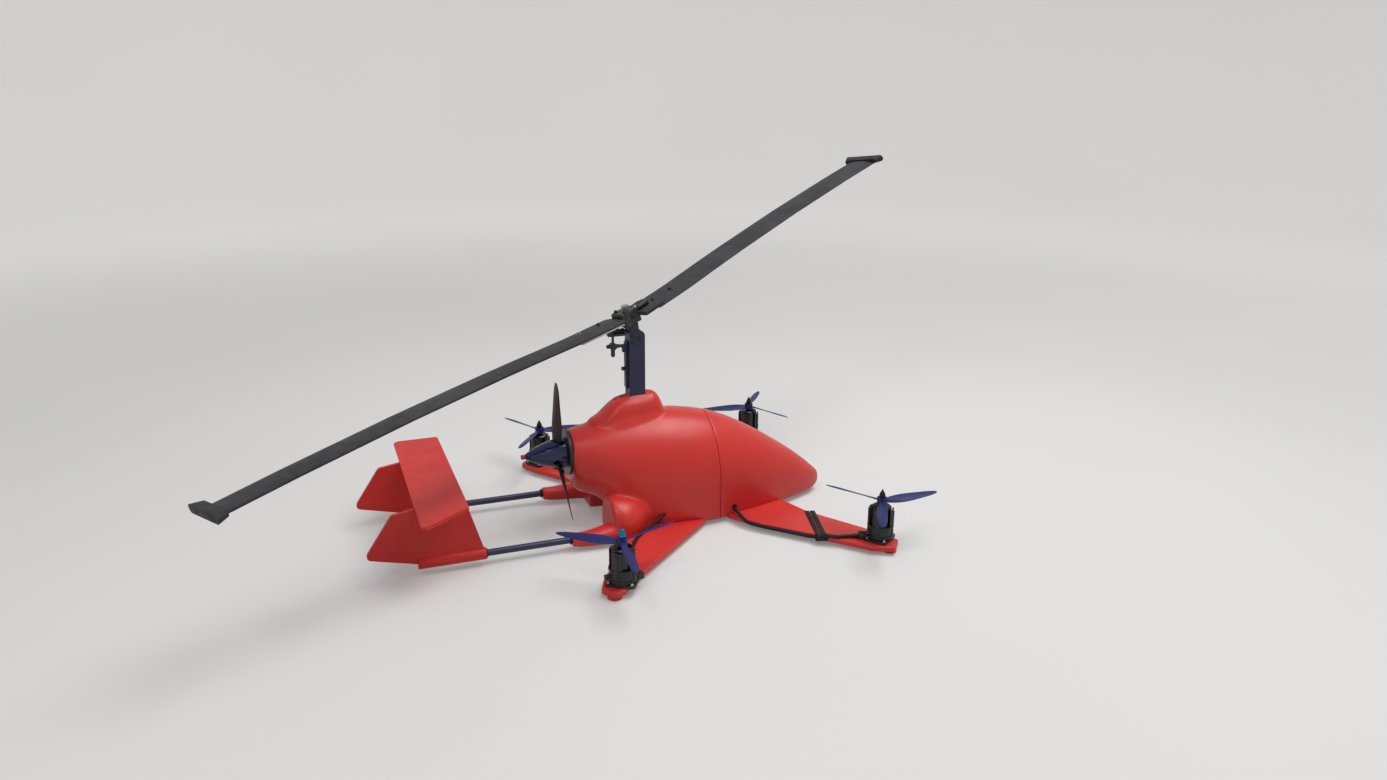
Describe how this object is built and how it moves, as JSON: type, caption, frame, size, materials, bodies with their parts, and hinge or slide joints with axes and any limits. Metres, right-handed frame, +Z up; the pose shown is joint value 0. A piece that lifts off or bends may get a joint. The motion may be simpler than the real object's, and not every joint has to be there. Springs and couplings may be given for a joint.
{
  "type": "unmanned aerial vehicle",
  "caption": "Table-top unmanned gyroplane: teardrop pod on flat arms with shrouded-motor lift propellers, tilted mast rotor, tail pusher propeller and twin-boom tail.",
  "frame": {"origin": "on the floor that the feet stand on, straight below the rotor mast; the belly's flat face is 5 mm above it", "axes": "+X towards the nose, +Y to the port side, +Z up"},
  "size_m": [0.9423, 0.5296, 0.4256],
  "materials": {
    "arm_red": "satin printed plate",
    "bell_metal": "black anodised",
    "blade_grey": "dark printed blade",
    "blade_tip_grey": "dark printed cap",
    "boom_blue": "satin tube",
    "cable_black": "sleeved wires",
    "cup_black": "printed",
    "fitting_black": "moulded",
    "mast_blue": "printed, fine layers",
    "nut_black": "anodised",
    "nut_cyan": "anodised",
    "pod_red": "satin printed shell",
    "prop_blue": "glossy moulded blade",
    "pusher_brown": "dark moulded blade",
    "spinner_blue": "glossy",
    "stator_copper": "varnished windings",
    "steel": "machined",
    "tail_red": "satin printed plate",
    "tip_red": "glossy"
  },
  "bodies": {
    "airframe": {"fuselage_rear": "pod_red", "nose_shell": "pod_red", "mast": "mast_blue", "mast_rail": "mast_blue", "rotor_head": "fitting_black", "rotor_spindle": "steel", "control_horn": "fitting_black", "control_link": "fitting_black", "link_arm": "mast_blue", "pusher_motor": "fitting_black", "arm_front_right": "arm_red", "arm_rear_right": "arm_red", "arm_rear_left": "arm_red", "arm_front_left": "arm_red", "motor_cup_front_right": "cup_black", "motor_cup_rear_right": "cup_black", "motor_cup_rear_left": "cup_black", "motor_cup_front_left": "cup_black", "motor_stator_front_right": "stator_copper", "motor_stator_rear_right": "stator_copper", "motor_stator_rear_left": "stator_copper", "motor_stator_front_left": "stator_copper", "boom_right": "boom_blue", "boom_left": "boom_blue", "fin_right": "tail_red", "fin_left": "tail_red", "stabiliser": "tail_red", "cable_front_right": "cable_black", "cable_front_left": "cable_black", "cable_rear_right": "cable_black", "cable_rear_left": "cable_black"},
    "main_rotor": {"hub_bar": "steel", "hub_block": "fitting_black", "rotor_blade_a": "blade_grey", "rotor_blade_b": "blade_grey", "blade_tip_a": "blade_tip_grey", "blade_tip_b": "blade_tip_grey"},
    "pusher": {"pusher_shaft": "steel", "pusher_prop": "pusher_brown", "spinner": "spinner_blue", "spinner_tip": "tip_red"},
    "lift_rotor_front_right": {"motor_bell_front_right": "bell_metal", "lift_prop_front_right": "prop_blue", "prop_nut_front_right": "nut_black"},
    "lift_rotor_rear_right": {"motor_bell_rear_right": "bell_metal", "lift_prop_rear_right": "prop_blue", "prop_nut_rear_right": "nut_cyan"},
    "lift_rotor_rear_left": {"motor_bell_rear_left": "bell_metal", "lift_prop_rear_left": "prop_blue", "prop_nut_rear_left": "nut_black"},
    "lift_rotor_front_left": {"motor_bell_front_left": "bell_metal", "lift_prop_front_left": "prop_blue", "prop_nut_front_left": "nut_black"}
  },
  "joints": [
    {"name": "main_rotor_spin", "type": "hinge", "parent": "airframe", "child": "main_rotor", "pos_m": [-0.014, 0, 0.26], "axis": [-0.2656, 0, 0.9641], "continuous": true},
    {"name": "pusher_spin", "type": "hinge", "parent": "airframe", "child": "pusher", "pos_m": [-0.104, 0, 0.096], "axis": [-1, 0, 0], "continuous": true},
    {"name": "lift_spin_front_right", "type": "hinge", "parent": "airframe", "child": "lift_rotor_front_right", "pos_m": [0.2375, -0.1925, 0.06], "axis": [0, 0, 1], "continuous": true},
    {"name": "lift_spin_rear_right", "type": "hinge", "parent": "airframe", "child": "lift_rotor_rear_right", "pos_m": [-0.0835, -0.1925, 0.06], "axis": [0, 0, 1], "continuous": true},
    {"name": "lift_spin_rear_left", "type": "hinge", "parent": "airframe", "child": "lift_rotor_rear_left", "pos_m": [-0.0835, 0.1925, 0.06], "axis": [0, 0, 1], "continuous": true},
    {"name": "lift_spin_front_left", "type": "hinge", "parent": "airframe", "child": "lift_rotor_front_left", "pos_m": [0.2375, 0.1925, 0.06], "axis": [0, 0, 1], "continuous": true}
  ]
}
